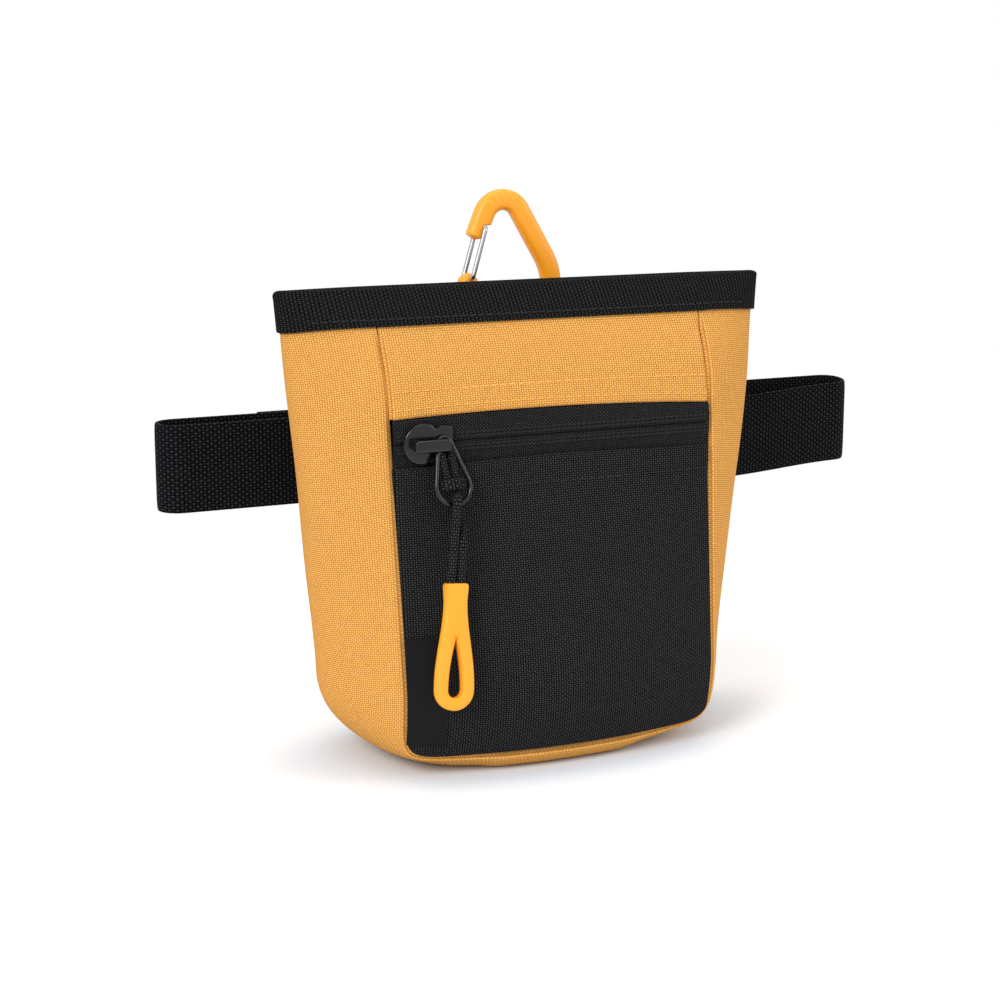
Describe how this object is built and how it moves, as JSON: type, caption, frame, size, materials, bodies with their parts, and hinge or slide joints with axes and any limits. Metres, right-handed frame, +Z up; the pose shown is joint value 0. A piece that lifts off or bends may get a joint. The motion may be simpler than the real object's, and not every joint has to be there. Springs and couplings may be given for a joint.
{
  "type": "treat pouch",
  "caption": "Soft belt-worn treat pouch with a fold-open magnetic mouth, a zipped front pocket with a corded pull, a small wire-gate carabiner and a buckled webbing belt.",
  "frame": {"origin": "middle of the flat base the pouch stands on", "axes": "+Z up, front towards -Y, +X to the right as seen from the front"},
  "size_m": [0.2245, 0.0811, 0.1591],
  "materials": {
    "yellow_weave": "coarse woven, matt",
    "black_weave": "coarse woven, matt",
    "black_tape": "fine ribbed, matt",
    "webbing": "ribbed webbing, slight sheen",
    "lining": "smooth woven",
    "magnet": "flexible magnet strip",
    "zip_coil": "nylon coil",
    "gunmetal": "dark plated",
    "steel_wire": "bright drawn wire",
    "cord": "braided cord",
    "orange_rubber": "moulded, satin",
    "orange_frame": "coloured coat, satin",
    "buckle_plastic": "moulded, satin"
  },
  "bodies": {
    "pouch": {"back_panel": "yellow_weave", "back_lining": "lining", "gusset_strip": "yellow_weave", "gusset_rear_left": "yellow_weave", "gusset_rear_right": "yellow_weave", "pocket_panel": "black_weave", "pocket_backing": "lining", "rear_rim_binding": "black_tape", "rear_magnet_strip": "magnet", "zip_tape_upper": "black_tape", "zip_tape_lower": "black_tape", "zip_coil_upper": "zip_coil", "zip_coil_lower": "zip_coil", "side_label": "black_tape", "belt_sleeve": "black_weave", "carabiner_loop": "webbing"},
    "mouth_front": {"front_upper_panel": "yellow_weave", "front_upper_lining": "lining", "front_rim_binding": "black_tape", "front_magnet_strip": "magnet", "gusset_front_left": "yellow_weave", "gusset_front_right": "yellow_weave"},
    "slider": {"zip_slider": "gunmetal", "slider_bail": "gunmetal"},
    "pull_ring": {"pull_wire": "gunmetal"},
    "pull_end": {"pull_cord": "cord", "pull_tab": "orange_rubber"},
    "carabiner": {"carabiner_frame": "orange_frame"},
    "gate": {"carabiner_gate": "steel_wire"},
    "belt": {"belt_webbing": "webbing", "belt_return": "webbing", "buckle_socket": "buckle_plastic"},
    "plug": {"buckle_plug": "buckle_plastic"},
    "keeper": {"strap_keeper": "buckle_plastic"}
  },
  "joints": [
    {"name": "mouth_fold", "type": "hinge", "parent": "pouch", "child": "mouth_front", "pos_m": [0, -0.01955, 0.0995], "axis": [1, 0, 0], "range_deg": [0, 55]},
    {"name": "zip_slide", "type": "slide", "parent": "pouch", "child": "slider", "axis": [1, 0, 0], "range_m": [0, 0.076]},
    {"name": "pull_swing", "type": "hinge", "parent": "slider", "child": "pull_ring", "pos_m": [-0.0345, -0.02371, 0.0933], "axis": [0, -1, 0], "range_deg": [-22, 22]},
    {"name": "pull_lift", "type": "hinge", "parent": "pull_ring", "child": "pull_end", "pos_m": [-0.0327, -0.02818, 0.07795], "axis": [-1, 0, 0], "range_deg": [0, 60]},
    {"name": "carabiner_tip", "type": "hinge", "parent": "pouch", "child": "carabiner", "pos_m": [0.0018, 0.0174, 0.1215], "axis": [-1, 0, 0], "range_deg": [0, 115]},
    {"name": "gate_open", "type": "hinge", "parent": "carabiner", "child": "gate", "pos_m": [-0.0106, 0.0174, 0.1332], "axis": [0, 1, 0], "range_deg": [0, 28], "stiffness_Nm_per_rad": 0.02, "springref_deg": -17.19},
    {"name": "belt_slide", "type": "slide", "parent": "pouch", "child": "belt", "axis": [1, 0, 0], "range_m": [-0.02, 0.02]},
    {"name": "buckle_release", "type": "slide", "parent": "belt", "child": "plug", "axis": [1, 0, 0], "range_m": [0, 0.022], "deforming": ["belt_return"]},
    {"name": "keeper_slide", "type": "slide", "parent": "belt", "child": "keeper", "axis": [1, 0, 0], "range_m": [-0.003, 0.005]}
  ]
}
